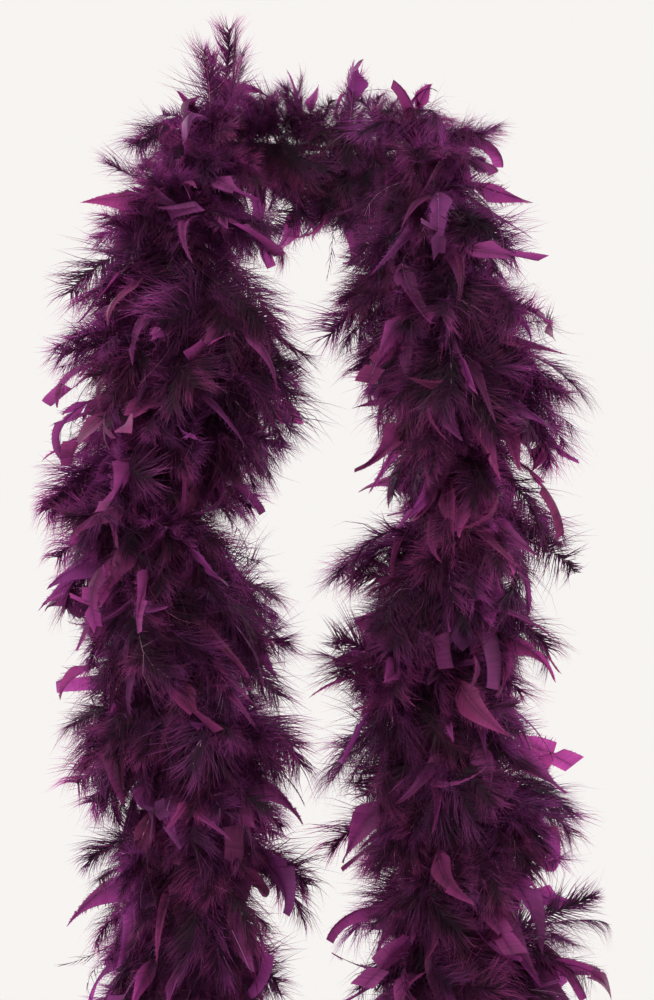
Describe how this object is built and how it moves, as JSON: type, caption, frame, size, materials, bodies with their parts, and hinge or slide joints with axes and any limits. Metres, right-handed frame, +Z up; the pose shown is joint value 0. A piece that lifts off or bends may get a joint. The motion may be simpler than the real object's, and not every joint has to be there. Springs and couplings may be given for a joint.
{
  "type": "feather boa",
  "caption": "Full plum feather boa draped round a neck, both tails hanging in front, with down and flat feathers tied along a two-ply core string.",
  "frame": {"origin": "back of the wearer's neck, where the inside of the nape rests on it", "axes": "+Z up, -Y to the wearer's front, +X to the right as seen from the front"},
  "size_m": [0.3979, 0.3124, 0.8936],
  "materials": {
    "down": "fluffy dyed marabou down, matt with a soft sheen",
    "flat_feather": "smooth dyed turkey flats, satin",
    "core_string": "twisted dyed cotton string, matt",
    "binding_thread": "fine dyed thread, matt"
  },
  "bodies": {
    "neck_section": {"core_ply_a_neck": "core_string", "core_ply_b_neck": "core_string", "binding_thread_neck": "binding_thread", "down_tufts_nape": "down", "down_tufts_left_shoulder": "down", "down_tufts_right_shoulder": "down", "flat_feathers_nape": "flat_feather", "flat_feathers_left_shoulder": "flat_feather", "flat_feathers_right_shoulder": "flat_feather"},
    "left_tail_upper": {"core_ply_a_left_upper": "core_string", "core_ply_b_left_upper": "core_string", "binding_thread_left_upper": "binding_thread", "down_tufts_left_upper": "down", "flat_feathers_left_upper": "flat_feather"},
    "left_tail_middle": {"core_ply_a_left_middle": "core_string", "core_ply_b_left_middle": "core_string", "binding_thread_left_middle": "binding_thread", "down_tufts_left_middle": "down", "flat_feathers_left_middle": "flat_feather"},
    "left_tail_lower": {"core_ply_a_left_lower": "core_string", "core_ply_b_left_lower": "core_string", "binding_thread_left_lower": "binding_thread", "down_tufts_left_lower": "down", "flat_feathers_left_lower": "flat_feather"},
    "left_tail_end": {"core_ply_a_left_end": "core_string", "core_ply_b_left_end": "core_string", "binding_thread_left_end": "binding_thread", "down_tufts_left_end": "down", "flat_feathers_left_end": "flat_feather", "end_knot_left": "core_string", "end_loop_left": "core_string"},
    "right_tail_upper": {"core_ply_a_right_upper": "core_string", "core_ply_b_right_upper": "core_string", "binding_thread_right_upper": "binding_thread", "down_tufts_right_upper": "down", "flat_feathers_right_upper": "flat_feather"},
    "right_tail_middle": {"core_ply_a_right_middle": "core_string", "core_ply_b_right_middle": "core_string", "binding_thread_right_middle": "binding_thread", "down_tufts_right_middle": "down", "flat_feathers_right_middle": "flat_feather"},
    "right_tail_lower": {"core_ply_a_right_lower": "core_string", "core_ply_b_right_lower": "core_string", "binding_thread_right_lower": "binding_thread", "down_tufts_right_lower": "down", "flat_feathers_right_lower": "flat_feather"},
    "right_tail_end": {"core_ply_a_right_end": "core_string", "core_ply_b_right_end": "core_string", "binding_thread_right_end": "binding_thread", "down_tufts_right_end": "down", "flat_feathers_right_end": "flat_feather", "end_knot_right": "core_string", "end_loop_right": "core_string"}
  },
  "joints": [
    {"name": "left_chest_swing", "type": "hinge", "parent": "neck_section", "child": "left_tail_upper", "pos_m": [-0.1085, -0.1225, -0.216], "axis": [1, 0, 0], "range_deg": [-35, 20]},
    {"name": "left_waist_sway", "type": "hinge", "parent": "left_tail_upper", "child": "left_tail_middle", "pos_m": [-0.107, -0.1225, -0.36], "axis": [0, 1, 0], "range_deg": [-6, 30]},
    {"name": "left_hip_swing", "type": "hinge", "parent": "left_tail_middle", "child": "left_tail_lower", "pos_m": [-0.093, -0.1225, -0.504], "axis": [1, 0, 0], "range_deg": [-35, 20]},
    {"name": "left_end_sway", "type": "hinge", "parent": "left_tail_lower", "child": "left_tail_end", "pos_m": [-0.0995, -0.1225, -0.648], "axis": [0, 1, 0], "range_deg": [-15, 30]},
    {"name": "right_chest_swing", "type": "hinge", "parent": "neck_section", "child": "right_tail_upper", "pos_m": [0.111, -0.1225, -0.222], "axis": [1, 0, 0], "range_deg": [-35, 20]},
    {"name": "right_waist_sway", "type": "hinge", "parent": "right_tail_upper", "child": "right_tail_middle", "pos_m": [0.107, -0.1225, -0.366], "axis": [0, 1, 0], "range_deg": [-30, 6]},
    {"name": "right_hip_swing", "type": "hinge", "parent": "right_tail_middle", "child": "right_tail_lower", "pos_m": [0.1065, -0.1225, -0.51], "axis": [1, 0, 0], "range_deg": [-35, 20]},
    {"name": "right_end_sway", "type": "hinge", "parent": "right_tail_lower", "child": "right_tail_end", "pos_m": [0.1255, -0.1225, -0.654], "axis": [0, 1, 0], "range_deg": [-30, 15]}
  ]
}
